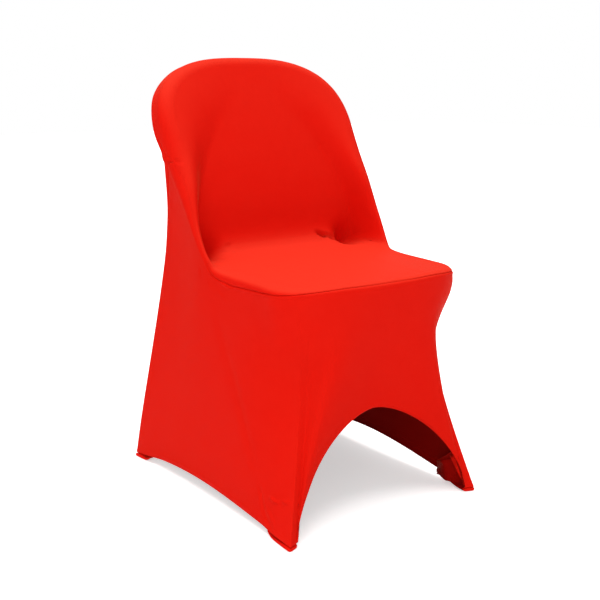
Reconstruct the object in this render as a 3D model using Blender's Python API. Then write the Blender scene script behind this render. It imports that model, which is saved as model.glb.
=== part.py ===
"""Fitted stretch cover for a folding chair, as it hangs on the chair.

The cover is a hollow of knitted panels, each one a thin closed shell: the panel
over the front of the back and the seat, the skirt that wraps the front and both
sides and runs up each side of the back to a point, the rear panel, and a pocket
that hooks under each foot of the chair.

Every panel is a grid of points. The shapes are worked out from the floor, with
X to the right, Y to the rear from the front feet and Z up, and are then moved so
that the origin lies under the top of the cover, where the chair's back holds it.
"""
import bpy
import numpy as np

# Driving dimensions, metres
CLOTH = 0.0016            # knit with its small stretch folds, as a solid
SEAM_GAP = 0.0005         # between the cut edges of two panels
HEIGHT = 0.8048           # floor to the top of the back
HALF_WIDTH = 0.2215       # of the back, over the cloth
FOOT_X = 0.2145           # outer corner of the skirt at a front foot, from the middle
FOOT_Y = -0.006           # and how far it stands behind the front feet
REAR_FOOT_X = 0.2170
REAR_FOOT_Y = 0.538
HEM_FLOOR = 0.008         # the hem's height over the floor at a foot
TOP_REST = (0.0, 0.446, HEIGHT - CLOTH)   # the chair's back touches the cover here

# The panel over the back and seat: its run down the middle and down its sides,
# with the half width, how far from the middle the sides start to rise forward as
# wings, and the radius of the rolled edge
RUN_COLUMNS = ("mid_y", "mid_z", "side_y", "side_z", "half_width", "wing_from", "radius")
RUN = (
    (0.4390, 0.8090, 0.4370, 0.8090, 0.2215, 0.020, 0.018),   # top of the back
    (0.4140, 0.7480, 0.4040, 0.7480, 0.2215, 0.030, 0.021),
    (0.3900, 0.6860, 0.3710, 0.6860, 0.2215, 0.085, 0.025),
    (0.3690, 0.6250, 0.3385, 0.6250, 0.2205, 0.130, 0.026),
    (0.3530, 0.5700, 0.3090, 0.5700, 0.2190, 0.155, 0.020),
    (0.3430, 0.5200, 0.2885, 0.5200, 0.2175, 0.172, 0.011),
    (0.3370, 0.4820, 0.2690, 0.4820, 0.2160, 0.184, 0.008),
    (0.3200, 0.4530, 0.2505, 0.4530, 0.2125, 0.186, 0.008),   # back meets seat
    (0.2750, 0.4400, 0.2320, 0.4390, 0.2065, 0.165, 0.010),
    (0.2100, 0.4375, 0.1880, 0.4350, 0.2010, 0.120, 0.012),
    (0.1400, 0.4385, 0.1300, 0.4335, 0.1990, 0.090, 0.012),
    (0.0800, 0.4385, 0.0790, 0.4320, 0.1985, 0.080, 0.012),
    (0.0300, 0.4370, 0.0300, 0.4310, 0.1990, 0.080, 0.012),
    (-0.0120, 0.4345, -0.0120, 0.4310, 0.1995, 0.080, 0.012),  # front of the seat
)

# Where the panel's seam lies, down its run: the angle, in degrees, that the edge has
# rolled there, and the straight wall past a full quarter turn
SEAM_COLUMNS = ("down", "turn", "wall")
SEAM = (
    (0.000, 90.0, 0.022),     # top of the back
    (0.066, 90.0, 0.026),
    (0.140, 90.0, 0.012),
    (0.175, 84.0, 0.000),
    (0.197, 58.0, 0.000),     # the side gusset's point
    (0.225, 40.0, 0.000),
    (0.254, 32.0, 0.000),
    (0.305, 26.0, 0.000),
    (0.344, 30.0, 0.000),
    (0.370, 48.0, 0.000),     # back meets seat
    (0.395, 80.0, 0.000),
    (0.425, 90.0, 0.004),
    (0.489, 90.0, 0.006),
    (0.559, 90.0, 0.003),
    (0.600, 90.0, 0.001),
    (0.645, 80.0, 0.000),
    (0.680, 56.0, 0.000),
    (0.720, 40.0, 0.000),     # front of the seat
)
TOP_CORNER = {"height": 0.160, "power": 2.75, "start": 0.84}    # the back's round top corners
FRONT_CORNER = {"height": 0.098, "power": 2.4, "start": 0.87}   # the seat's round front
TOP_EDGE = {"reach": 0.170, "level": 0.26}    # over the top the edge runs back level

# A dimple on each side, where the cloth sinks between the seat and the frame
DIMPLE = {"x": 0.168, "y": 0.332, "z": 0.450, "wide": 0.024, "long": 0.026, "depth": 0.040}

# The skirt between the seat's edge and its hem
SKIRT = {
    "arch_height": 0.187, "arch_half_width": 0.1975, "arch_power": 1.63, "arch_in": 0.036,
    "foot_share": 0.93, "side_in": 0.006, "corner_reach": 0.32, "corner_back": 0.20,
    "waist_forward": 0.024, "waist_in": 0.014,
}
SIDE_ARCH = {"left": 0.016, "right": 0.037}       # the hem's rise along each side

# How far the cloth is drawn in at a front corner, down from the seat's edge
CORNER_COLUMNS = ("share", "pull")
CORNER_PULL = (
    (0.00, 0.000),
    (0.04, 0.001),
    (0.10, 0.009),
    (0.16, 0.021),
    (0.26, 0.038),
    (0.46, 0.042),
    (0.70, 0.027),
    (1.00, 0.000),
)
REAR = {"arch_height": 0.150, "arch_in": 0.030, "power": 3.6, "rise_power": 2.4, "round": 0.4}

# The rear panel's middle at a share of its way down, and how far it stands behind
# the side seams there
REAR_COLUMNS = ("share", "z", "bulge")
REAR_RUN = (
    (0.00, 0.7980, 0.000),
    (0.05, 0.7720, 0.014),
    (0.13, 0.7200, 0.033),
    (0.24, 0.6500, 0.053),
    (0.30, 0.6150, 0.057),
    (0.40, 0.5560, 0.037),
    (0.50, 0.4950, 0.013),
    (0.66, 0.3950, 0.008),
    (0.84, 0.2700, 0.011),
    (1.00, 0.1560, 0.014),
)

# Foot pockets: a slim cup sewn inside each corner, whose edge shows beyond the hem
POCKET = {"outer_height": 0.084, "inner_height": 0.046, "side_columns": 4, "bulge": 0.008, "lip": 0.005}
POCKET_INSET = CLOTH + 0.0012     # from the outside of the skirt to the outside of the pocket
# Rings of the pocket: share of its height, and share of its plan about the corner
POCKET_RINGS = ((1.0, 1.0), (0.62, 1.0), (0.30, 1.0), (0.12, 0.99), (0.04, 0.95), (0.0, 0.86))

# How finely the grids are drawn
ROLL_STEPS = 3
ACROSS = 13               # cells from the middle to a side
ALONG = 38                # cells from the top of the back to the seat's front
POINT_ROW = 9             # the row of the gusset's point, counted from the top
SKIRT_ROLL_ROWS = 4
ROLL_STEP = 0.0095        # between the skirt's first rows
SKIRT_ROWS = 13

COLOUR = (0.78, 0.010, 0.006, 1.0)


def spline(stations, values, at):
    """Natural cubic through the values at their stations, read at the given places."""
    s = np.asarray(stations, float)
    v = np.asarray(values, float)
    n = len(s)
    h = np.diff(s)
    system = np.eye(n)
    right = np.zeros(n)
    for i in range(1, n - 1):
        system[i, i - 1:i + 2] = h[i - 1], 2 * (h[i - 1] + h[i]), h[i]
        right[i] = 6 * ((v[i + 1] - v[i]) / h[i] - (v[i] - v[i - 1]) / h[i - 1])
    bend = np.linalg.solve(system, right)
    at = np.clip(at, s[0], s[-1])
    k = np.clip(np.searchsorted(s, at, side="right") - 1, 0, n - 2)
    a = (s[k + 1] - at) / h[k]
    b = (at - s[k]) / h[k]
    return a * v[k] + b * v[k + 1] + ((a**3 - a) * bend[k] + (b**3 - b) * bend[k + 1]) * h[k] ** 2 / 6


def column(table, names, name):
    return np.array([row[names.index(name)] for row in table])


def run_stations():
    """Distance down the middle of the back and seat, at each row of the table."""
    y = column(RUN, RUN_COLUMNS, "mid_y")
    z = column(RUN, RUN_COLUMNS, "mid_z")
    return np.concatenate(([0.0], np.cumsum(np.hypot(np.diff(y), np.diff(z)))))


STATIONS = run_stations()
RUN_LENGTH = STATIONS[-1]


def run_value(name, q):
    return spline(STATIONS, column(RUN, RUN_COLUMNS, name), q)


def superellipse(share, power):
    """Height of a unit superellipse over its axis, at a share of its half width."""
    return np.clip(1 - np.clip(np.abs(share), 0, 1) ** power, 0, 1) ** (1 / power)


def smooth_step(t):
    t = np.clip(t, 0, 1)
    return t * t * (3 - 2 * t)


def guide(x, q):
    """The stretched surface before its edges are rolled, and the way its edges turn."""
    ridge = run_value("half_width", q) - run_value("radius", q)
    start = run_value("wing_from", q)
    share = smooth_step((np.abs(x) - start) / (ridge - start))
    y = run_value("mid_y", q) * (1 - share) + run_value("side_y", q) * share
    z = run_value("mid_z", q) * (1 - share) + run_value("side_z", q) * share
    step = 0.004
    dy = run_value("side_y", q + step) - run_value("side_y", q - step)
    dz = run_value("side_z", q + step) - run_value("side_z", q - step)
    length = np.hypot(dy, dz)
    level = TOP_EDGE["level"] * smooth_step(1 - q / TOP_EDGE["reach"])
    inward = np.stack([np.zeros_like(dy), -dz / length, dy / length + level], -1)
    return np.stack([x, y, z], -1), inward


def sink(points):
    """Pull the cloth back and down into the two dimples."""
    x, y, z = points[..., 0], points[..., 1], points[..., 2]
    near = np.exp(-((np.abs(x) - DIMPLE["x"]) / DIMPLE["wide"]) ** 2
                  - ((y - DIMPLE["y"]) / DIMPLE["long"]) ** 2
                  - ((z - DIMPLE["z"]) / DIMPLE["long"]) ** 2)
    depth = DIMPLE["depth"] * near
    return points + np.stack([np.zeros_like(x), 0.75 * depth, -0.66 * depth], -1)


def outline(across, along, inset):
    """Place in the panel's own plane: across -1 to 1, along 0 to 1, inset from its outline."""
    top_mid = TOP_CORNER["height"]
    front_mid = RUN_LENGTH - FRONT_CORNER["height"]
    top_half = HALF_WIDTH - inset
    front_half = RUN[-1][RUN_COLUMNS.index("half_width")] - inset
    top_high = TOP_CORNER["height"] - inset
    front_high = FRONT_CORNER["height"] - inset
    top_x = TOP_CORNER["start"] * top_half
    front_x = FRONT_CORNER["start"] * front_half
    q_top = top_mid - top_high * superellipse(top_x * across / top_half, TOP_CORNER["power"])
    q_front = front_mid + front_high * superellipse(front_x * across / front_half, FRONT_CORNER["power"])
    q_top_corner = top_mid - top_high * superellipse(TOP_CORNER["start"], TOP_CORNER["power"])
    q_front_corner = front_mid + front_high * superellipse(FRONT_CORNER["start"], FRONT_CORNER["power"])
    q_side = q_top_corner + (q_front_corner - q_top_corner) * along
    q = q_top + (q_front - q_top) * along
    above = np.clip((top_mid - q_side) / top_high, 0, 1)
    below = np.clip((q_side - front_mid) / front_high, 0, 1)
    side = run_value("half_width", q_side) - inset
    side = side * superellipse(above, TOP_CORNER["power"]) * superellipse(below, FRONT_CORNER["power"])
    return side * across, q


def rolled(across, along, turned, wall):
    """A point on the rolled edge: turned is the angle from flat, wall the straight part after it."""
    radius = run_value("radius", outline(across, along, 0.0)[1])
    x, q = outline(across, along, radius * (1 - np.sin(turned)))
    surface, inward = guide(x, q)
    depth = radius * (1 - np.cos(turned)) + wall
    return sink(surface) + inward * depth[..., None]


def seam_turn(across, along):
    """The angle that the edge has rolled at the seam, and the wall there."""
    flat_q = outline(across, along, 0.0)[1]
    down = column(SEAM, SEAM_COLUMNS, "down")
    turn = np.interp(flat_q, down, column(SEAM, SEAM_COLUMNS, "turn"))
    return np.radians(turn), np.interp(flat_q, down, column(SEAM, SEAM_COLUMNS, "wall"))


def back_seat_points():
    """Grid over the back and seat: rings parallel to its edge roll over, the rest is the stretched middle."""
    i, j = np.meshgrid(np.arange(ALONG + 1), np.arange(-ACROSS, ACROSS + 1), indexing="ij")
    ring = np.minimum(np.minimum(i, ALONG - i), np.minimum(ACROSS - np.abs(j), ROLL_STEPS))
    across = np.clip(j / (ACROSS - ring), -1, 1)
    along = (i - ring) / (ALONG - 2 * ring)
    end_turn, end_wall = seam_turn(across, along)
    share = 1 - ring / ROLL_STEPS
    wall = np.where(ring == 0, end_wall, 0.0)
    return rolled(across, along, end_turn * share, wall)


def hem_point(across, back):
    """The skirt's hem: across the front, or a share of the way back along a side."""
    sign = np.sign(across)
    foot = SKIRT["foot_share"]
    swing = np.clip(np.abs(across) / foot, 0, 1) * np.pi / 2
    power = 2 / SKIRT["arch_power"]
    arch_x = SKIRT["arch_half_width"] * np.sin(swing) ** power
    arch_z = SKIRT["arch_height"] * np.clip(np.cos(swing), 0, 1) ** power
    toe = np.clip((np.abs(across) - foot) / (1 - foot), 0, 1)
    x = arch_x + (FOOT_X - SKIRT["arch_half_width"]) * toe
    y = FOOT_Y + (SKIRT["arch_in"] - FOOT_Y) * (1 - (x / FOOT_X) ** 2)
    z = HEM_FLOOR + arch_z
    bow = np.sin(np.pi * np.clip(back, 0, 1) ** 1.25)
    side_x = FOOT_X + (REAR_FOOT_X - FOOT_X) * back - SKIRT["side_in"] * bow
    side_z = HEM_FLOOR + np.where(across < 0, SIDE_ARCH["left"], SIDE_ARCH["right"]) * bow
    on_side = back > 0
    x = np.where(on_side, side_x, x)
    y = np.where(on_side, FOOT_Y + (REAR_FOOT_Y - FOOT_Y) * back, y)
    z = np.where(on_side, side_z, z)
    return np.stack([sign * x, y, z], -1)


def skirt_points():
    """Columns from the seam of the back and seat down to the hem."""
    side_rows = np.arange(POINT_ROW, ALONG)
    across = np.concatenate([-np.ones(len(side_rows)), np.arange(-ACROSS, ACROSS + 1) / ACROSS,
                             np.ones(len(side_rows))])
    along = np.concatenate([side_rows / ALONG, np.ones(2 * ACROSS + 1), side_rows[::-1] / ALONG])
    turn, wall = seam_turn(across, along)
    seam = rolled(across, along, turn, wall)
    edge = rolled(across, along, np.full_like(turn, np.pi / 2), wall)
    radius = run_value("radius", outline(across, along, 0.0)[1])
    first = POINT_ROW / ALONG
    back = np.clip((1 - along) / (1 - first), 0, 1) ** 0.92
    hem = hem_point(across, back)
    roll_length = radius * (np.pi / 2 - turn)
    drop = np.linalg.norm(hem - edge, axis=-1)
    total = roll_length + drop
    rolls = np.arange(SKIRT_ROLL_ROWS) * ROLL_STEP
    rest = np.linspace(0, 1, SKIRT_ROWS - SKIRT_ROLL_ROWS + 1)
    start = rolls[-1] + ROLL_STEP
    down = edge_direction(across, along)
    corner = np.exp(-((np.abs(across) - 1) / SKIRT["corner_reach"]) ** 2
                    - (back / SKIRT["corner_back"]) ** 2)
    inward = np.stack([-np.sign(across) * 0.72, np.full_like(across, 0.69), np.zeros_like(across)], -1)
    rear = smooth_step((back - 0.45) / 0.55)
    waist = np.stack([-np.sign(across) * SKIRT["waist_in"], np.full_like(across, -SKIRT["waist_forward"]),
                      np.zeros_like(across)], -1) * rear[:, None]
    lengths = [np.full_like(total, r) for r in rolls]
    lengths += [start + (total - start) * t for t in rest]
    rows = []
    for length in lengths:
        turned = turn + np.clip(length / radius, 0, np.pi / 2 - turn)
        roll = rolled(across, along, turned, wall)
        s = np.clip((length - roll_length) / drop, 0, 1)
        chord = hem - edge
        lead = (down * drop[:, None] * 0.9 - chord) * (0.35 * s * (1 - s) ** 2)[:, None]
        pull = spline(column(CORNER_PULL, CORNER_COLUMNS, "share"), column(CORNER_PULL, CORNER_COLUMNS, "pull"), s)
        nipped = 6.75 * s * (1 - s) ** 2
        drawn = inward * (corner * pull)[:, None] + waist * nipped[:, None]
        point = edge + chord * s[:, None] + lead + drawn
        rows.append(np.where(s[:, None] > 0, point, roll))
    rows[0] = seam
    return np.array(rows)


def edge_direction(across, along):
    """The way the cloth runs as it leaves the rolled edge."""
    q = outline(across, along, 0.0)[1]
    return guide(np.zeros_like(q), q)[1]


def quarter_turn_left():
    """From each point of the rear panel's side seam to where the edge has rolled a quarter turn."""
    along = np.arange(POINT_ROW + 1) / ALONG
    across = -np.ones_like(along)
    turn, wall = seam_turn(across, along)
    upper = rolled(across, along, np.full_like(turn, np.pi / 2), wall) - rolled(across, along, turn, wall)
    radius = run_value("radius", outline(-1.0, along[-1], 0.0)[1])
    turned = np.minimum(turn[-1] + np.arange(1, SKIRT_ROLL_ROWS) * ROLL_STEP / radius, np.pi / 2)
    point = np.full_like(turned, along[-1])
    left = -np.ones_like(turned)
    flat = np.zeros_like(turned)
    lower = rolled(left, point, np.full_like(turned, np.pi / 2), flat) - rolled(left, point, turned, flat)
    rest = np.zeros((SKIRT_ROWS - SKIRT_ROLL_ROWS + 1, 3))
    return np.concatenate([upper, lower, rest])


def rear_points(seat, skirt):
    """The rear panel, hung between the seams it shares with the two other panels."""
    side = np.concatenate([seat[:POINT_ROW + 1, 0], skirt[1:, 0]])
    rim = side + quarter_turn_left()
    width = np.abs(rim[:, 0]) * (1 + REAR["round"]) - np.abs(side[:, 0]) * REAR["round"]
    reach = np.concatenate(([0.0], np.cumsum(np.linalg.norm(np.diff(side, axis=0), axis=1))))
    share = reach / reach[-1]
    a = np.arange(-ACROSS, ACROSS + 1) / ACROSS
    swing = a * (1.4 - 0.4 * a * a)
    stations = column(REAR_RUN, REAR_COLUMNS, "share")
    mid_z = spline(stations, column(REAR_RUN, REAR_COLUMNS, "z"), share)
    bulge = spline(stations, column(REAR_RUN, REAR_COLUMNS, "bulge"), share)
    x = width[:, None] * swing
    z = side[:, 2][:, None] + (mid_z - side[:, 2])[:, None] * (1 - np.abs(swing) ** REAR["rise_power"])
    edge = np.concatenate([rim[::-1], seat[0, 1:ACROSS + 1]])
    y = np.interp(z, edge[:, 2], edge[:, 1])
    y += np.interp(z, mid_z[::-1], bulge[::-1]) * superellipse(swing, REAR["power"])
    points = np.stack([x, y, z], -1)
    top = seat[0]
    hem = rear_hem(a)
    near_top = np.clip(1 - share / 0.42, 0, 1) ** 2
    near_hem = np.clip((share - 0.30) / 0.70, 0, 1) ** 2
    points = points + (top - points[0])[None] * near_top[:, None, None]
    points = points + (hem - points[-1])[None] * near_hem[:, None, None]
    points[:, 0] = side
    points[:, -1] = side * np.array([-1.0, 1.0, 1.0])
    return points


def rear_hem(a):
    hem = hem_point(a, np.zeros_like(a))
    rise = (hem[:, 2] - HEM_FLOOR) * REAR["arch_height"] / SKIRT["arch_height"] + HEM_FLOOR
    pull = REAR["arch_in"] * (1 - (hem[:, 0] / FOOT_X) ** 2)
    return np.stack([hem[:, 0] * REAR_FOOT_X / FOOT_X, REAR_FOOT_Y - pull, rise], -1)


def grid_normals(points):
    """Unit normals of a grid, out of the side from which its rows run down and columns run right."""
    down = np.gradient(points, axis=0)
    right = np.gradient(points, axis=1)
    normal = unit(np.cross(down, right))
    for row, next_row in ((0, 1), (-1, -2)):
        for col, next_col in ((0, 1), (-1, -2)):
            normal[row, col] = unit(normal[row, next_col] + normal[next_row, col])
    return normal


def unit(vectors):
    return vectors / np.linalg.norm(vectors, axis=-1, keepdims=True)


def trimmed(points, top=False, bottom=False, left=False, right=False):
    """Move the cut edges that meet another panel half a seam gap into the panel."""
    out = points.copy()
    half = SEAM_GAP / 2
    if top:
        out[0] += square_to(points[0], points[1]) * half
    if bottom:
        out[-1] += square_to(points[-1], points[-2]) * half
    if left:
        out[:, 0] += square_to(points[:, 0], points[:, 1]) * half
    if right:
        out[:, -1] += square_to(points[:, -1], points[:, -2]) * half
    return out


def square_to(edge, next_line):
    """Unit directions from an edge into its panel, square to the edge."""
    along = unit(np.gradient(edge, axis=0))
    into = next_line - edge
    return unit(into - along * np.sum(into * along, axis=1, keepdims=True))


def shell(name, outer, normals, material):
    """A closed shell from a grid of outer points, one cloth thickness deep."""
    inner = outer - normals * CLOTH
    rows, columns = outer.shape[:2]
    count = rows * columns
    index = np.arange(count).reshape(rows, columns)
    quads = np.stack([index[:-1, :-1], index[1:, :-1], index[1:, 1:], index[:-1, 1:]], -1).reshape(-1, 4)
    rim = np.concatenate([index[0, :-1], index[:-1, -1], index[-1, :0:-1], index[:0:-1, 0]])
    following = np.roll(rim, -1)
    walls = np.stack([rim, following, following + count, rim + count], -1)
    faces = np.concatenate([quads, quads[:, ::-1] + count, walls])
    return add_mesh(name, np.concatenate([outer.reshape(-1, 3), inner.reshape(-1, 3)]), faces.tolist(), material)


def add_mesh(name, points, faces, material):
    mesh = bpy.data.meshes.new(name)
    mesh.from_pydata((points - np.array(TOP_REST)).tolist(), [], faces)
    mesh.materials.append(material)
    mesh.shade_smooth()
    obj = bpy.data.objects.new(name, mesh)
    bpy.context.scene.collection.objects.link(obj)
    return obj


def inset_loop(loop, distance):
    """A closed loop in plan, anticlockwise from above, moved inwards by a distance."""
    before = unit(loop - np.roll(loop, 1, axis=0))
    after = unit(np.roll(loop, -1, axis=0) - loop)
    normal_before = np.stack([-before[:, 1], before[:, 0]], -1)
    normal_after = np.stack([-after[:, 1], after[:, 0]], -1)
    bisector = normal_before + normal_after
    return loop + bisector * (2 * distance / np.sum(bisector * bisector, axis=1))[:, None]


def at_height(line, z):
    """Where a line of points that runs down passes a height, or its lowest point if that is higher."""
    x, y, height = line[np.argsort(line[:, 2])].T
    return np.array([np.interp(z, height, x), np.interp(z, height, y)])


def foot_pocket(name, edge, face, side, material):
    """A cup inside a corner: edge is the arch's hem, face the column beside the corner on that panel,
    side the columns from the corner along the side."""
    corner_plan = side[0][-1, :2]
    lip = np.array([-np.sign(corner_plan[0]) * POCKET["lip"], 0.0])

    def loop_at(levels):
        loop = [at_height(edge, levels[0]) + lip]
        loop += [at_height(c, z) for c, z in zip([face] + side, levels[1:])]
        chord = loop[0] - loop[-1]
        sideways = np.array([-np.sign(corner_plan[0]) * POCKET["bulge"], 0.0])
        return np.array(loop + [loop[-1] + chord * share + sideways for share in (0.33, 0.67)])

    count = len(side) + 4
    plan = loop_at(np.zeros(count))
    distance = np.linalg.norm(plan - corner_plan, axis=1)
    rise = (POCKET["outer_height"] - POCKET["inner_height"]) * (1 - distance / distance.max())
    rise[-2:] = 0
    rim = POCKET["inner_height"] + rise
    turned = orientation(plan)
    outer, inner = [], []
    for share, spread in POCKET_RINGS:
        loop = inset_loop(loop_at(rim * share)[::turned], POCKET_INSET)
        loop = corner_plan + (loop - corner_plan) * spread
        outer.append(np.column_stack([loop, (rim * share)[::turned]]))
        inner.append(np.column_stack([inset_loop(loop, CLOTH), np.maximum(rim * share, CLOTH)[::turned]]))
    outside = np.arange(len(outer) * count).reshape(len(outer), count)
    following = np.roll(outside, -1, axis=1)
    offset = outside.size
    walls = np.stack([outside[:-1], outside[1:], following[1:], following[:-1]], -1).reshape(-1, 4)
    mouth = np.stack([outside[0], following[0], following[0] + offset, outside[0] + offset], -1)
    faces = walls.tolist() + (walls[:, ::-1] + offset).tolist() + mouth.tolist()
    faces += [outside[-1, ::-1].tolist(), (outside[-1] + offset).tolist()]
    return add_mesh(name, np.concatenate(outer + inner), faces, material)


def orientation(loop):
    """1 where a closed loop runs anticlockwise as seen from above, -1 where it runs clockwise."""
    x, y = loop.T
    return 1 if np.sum(x * np.roll(y, -1) - y * np.roll(x, -1)) > 0 else -1


def knit_material(name, colour, roughness):
    material = bpy.data.materials.new(name)
    material.use_nodes = True
    shader = material.node_tree.nodes["Principled BSDF"]
    shader.inputs["Base Color"].default_value = colour
    shader.inputs["Roughness"].default_value = roughness
    shader.inputs["Metallic"].default_value = 0.0
    return material


def panels():
    """Outer points and normals of the three panels, with their shared seams matched."""
    seat = back_seat_points()
    skirt = skirt_points()
    rear = rear_points(seat, skirt)
    seat_n, skirt_n, rear_n = grid_normals(seat), grid_normals(skirt), -grid_normals(rear)
    match_seams(seat_n, skirt_n, rear_n)
    return (seat, seat_n), (skirt, skirt_n), (rear, rear_n)


def match_seams(seat_n, skirt_n, rear_n):
    """Two panels lean the same way where they meet, so their cut edges stay parallel."""
    p = POINT_ROW
    sides = ALONG - p
    left, front, right = slice(0, sides), slice(sides, sides + 2 * ACROSS + 1), slice(sides + 2 * ACROSS + 1, None)
    shared = unit(seat_n[p:-1, 0] + skirt_n[0, left])
    seat_n[p:-1, 0] = shared
    skirt_n[0, left] = shared
    shared = unit(seat_n[-1] + skirt_n[0, front])
    seat_n[-1] = shared
    skirt_n[0, front] = shared
    shared = unit(seat_n[p:-1, -1] + skirt_n[0, right][::-1])
    seat_n[p:-1, -1] = shared
    skirt_n[0, right] = shared[::-1]
    shared = unit(seat_n[0] + rear_n[0])
    seat_n[0] = shared
    rear_n[0] = shared
    for edge in (0, -1):
        shared = unit(seat_n[1:p + 1, edge] + rear_n[1:p + 1, edge])
        seat_n[1:p + 1, edge] = shared
        rear_n[1:p + 1, edge] = shared
        shared = unit(skirt_n[1:, edge] + rear_n[p + 1:, edge])
        skirt_n[1:, edge] = shared
        rear_n[p + 1:, edge] = shared
        skirt_n[0, edge] = seat_n[p, edge]


def build():
    for obj in list(bpy.data.objects):
        bpy.data.objects.remove(obj, do_unlink=True)
    knit = knit_material("red_stretch_knit", COLOUR, 0.62)
    (seat, seat_n), (skirt, skirt_n), (rear, rear_n) = panels()
    seat = trimmed(seat, top=True, bottom=True, left=True, right=True)
    skirt = trimmed(skirt, top=True, left=True, right=True)
    rear = trimmed(rear, top=True, left=True, right=True)
    shell("back_seat_panel", seat, seat_n, knit)
    shell("skirt_panel", skirt, skirt_n, knit)
    shell("rear_panel", rear[:, ::-1], rear_n[:, ::-1], knit)
    corner = ALONG - POINT_ROW
    reach = POCKET["side_columns"] + 1
    for side, step in (("left", 1), ("right", -1)):
        columns = skirt[:, ::step].transpose(1, 0, 2)
        hem = columns[corner + 1:corner + ACROSS, -1]
        along = list(columns[corner:corner - reach:-1])
        foot_pocket("foot_pocket_front_" + side, hem, columns[corner + 1], along, knit)
        back = rear[:, ::step].transpose(1, 0, 2)
        foot_pocket("foot_pocket_rear_" + side, back[1:ACROSS, -1], back[1], list(columns[:reach]), knit)


build()
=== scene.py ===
import bpy
import numpy as np
from mathutils import Matrix, Vector


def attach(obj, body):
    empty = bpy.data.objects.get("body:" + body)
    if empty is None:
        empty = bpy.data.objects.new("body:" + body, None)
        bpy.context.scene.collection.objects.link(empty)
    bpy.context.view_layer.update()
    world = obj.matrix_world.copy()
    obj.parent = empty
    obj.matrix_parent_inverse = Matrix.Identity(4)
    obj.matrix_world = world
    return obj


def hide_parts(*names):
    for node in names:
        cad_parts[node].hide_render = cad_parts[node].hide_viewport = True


# A stretch cover on a folding chair. Shapes are worked out from the floor, with x to the
# right, y to the rear from the front feet and z up, and moved under the top of the back last.
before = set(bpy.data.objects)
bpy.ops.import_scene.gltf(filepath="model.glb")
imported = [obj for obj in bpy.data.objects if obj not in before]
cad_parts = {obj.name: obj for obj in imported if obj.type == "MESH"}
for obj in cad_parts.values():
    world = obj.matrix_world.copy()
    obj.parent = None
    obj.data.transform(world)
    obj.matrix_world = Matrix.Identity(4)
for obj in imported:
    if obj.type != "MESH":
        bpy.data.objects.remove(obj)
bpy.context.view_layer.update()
print("frame loaded:", len(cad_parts), "solids")

topRest = np.array([0.0, 0.446, 0.8032])   # where the chair's back holds the cover, from the floor


# helpers for curves and grids

def spline(stations, values, at):
    # natural cubic through the values at their stations
    s, v = np.asarray(stations, float), np.asarray(values, float)
    n, h = len(s), np.diff(s)
    system, right = np.eye(n), np.zeros(n)
    for i in range(1, n - 1):
        system[i, i - 1:i + 2] = h[i - 1], 2 * (h[i - 1] + h[i]), h[i]
        right[i] = 6 * ((v[i + 1] - v[i]) / h[i] - (v[i] - v[i - 1]) / h[i - 1])
    bend = np.linalg.solve(system, right)
    at = np.clip(at, s[0], s[-1])
    k = np.clip(np.searchsorted(s, at, side="right") - 1, 0, n - 2)
    a, b = (s[k + 1] - at) / h[k], (at - s[k]) / h[k]
    return a * v[k] + b * v[k + 1] + ((a**3 - a) * bend[k] + (b**3 - b) * bend[k + 1]) * h[k] ** 2 / 6


def smoothStep(t):
    t = np.clip(t, 0, 1)
    return t * t * (3 - 2 * t)


def superellipse(share, power):
    # height over the axis of a unit superellipse, at a share of its half width
    return np.clip(1 - np.clip(np.abs(share), 0, 1) ** power, 0, 1) ** (1 / power)


def unit(v):
    return v / np.maximum(np.linalg.norm(v, axis=-1, keepdims=True), 1e-12)


def bump(distance, wide):
    # bell of height 1 and half width wide
    return np.exp(-(distance / wide) ** 2)


def gridNormals(points):
    # down the rows crossed with right along the columns, which points out of the panel
    normal = unit(np.cross(np.gradient(points, axis=0), np.gradient(points, axis=1)))
    for row, nextRow in ((0, 1), (-1, -2)):
        for col, nextCol in ((0, 1), (-1, -2)):
            normal[row, col] = unit(normal[row, nextCol] + normal[nextRow, col])
    return normal


def lengthsAlong(points, axis):
    # distance travelled over the grid from its first row or column
    steps = np.linalg.norm(np.diff(points, axis=axis), axis=-1)
    first = np.zeros_like(np.take(steps, [0], axis=axis))
    return np.cumsum(np.concatenate([first, steps], axis=axis), axis=axis)


# the panel over the back and the seat
backSeat = {
    # its run down the middle and down its sides, in metres
    "midY": (.4390, .4140, .3900, .3690, .3530, .3430, .3370, .3200, .2750, .2100, .1400, .0800, .0300, -.0120),
    "midZ": (.8090, .7480, .6860, .6250, .5700, .5200, .4820, .4530, .4400, .4375, .4385, .4385, .4370, .4345),
    "sideY": (.4370, .4040, .3710, .3385, .3090, .2885, .2690, .2505, .2320, .1880, .1300, .0790, .0300, -.0120),
    "sideZ": (.8090, .7480, .6860, .6250, .5700, .5200, .4820, .4530, .4390, .4350, .4335, .4320, .4310, .4310),
    "halfWidth": (.2215, .2215, .2215, .2205, .2190, .2175, .2160, .2125, .2065, .2010, .1990, .1985, .1990, .1995),
    "wingFrom": (.020, .030, .085, .130, .155, .172, .184, .186, .165, .120, .090, .080, .080, .080),
    "radius": (.018, .021, .025, .026, .020, .011, .008, .008, .010, .012, .012, .012, .012, .012),
    # where its seam lies: the angle that the edge has rolled there, and the straight wall after it
    "seamDown": (0, .066, .140, .175, .197, .225, .254, .305, .344, .370, .395, .425, .489, .559, .600, .645, .680, .720),
    "seamTurn": (90, 90, 90, 84, 58, 40, 32, 26, 30, 48, 80, 90, 90, 90, 90, 80, 56, 40),
    "seamWall": (.022, .026, .012, 0, 0, 0, 0, 0, 0, 0, 0, .004, .006, .003, .001, 0, 0, 0),
    "topHeight": .160, "topPower": 2.75, "topStart": .84,
    "frontHeight": .098, "frontPower": 2.4, "frontStart": .87,
    "edgeReach": .170, "edgeLevel": .26,
    "dimple": (.168, .332, .450), "dimpleWide": .024, "dimpleLong": .026, "dimpleDeep": .050,
}
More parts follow.
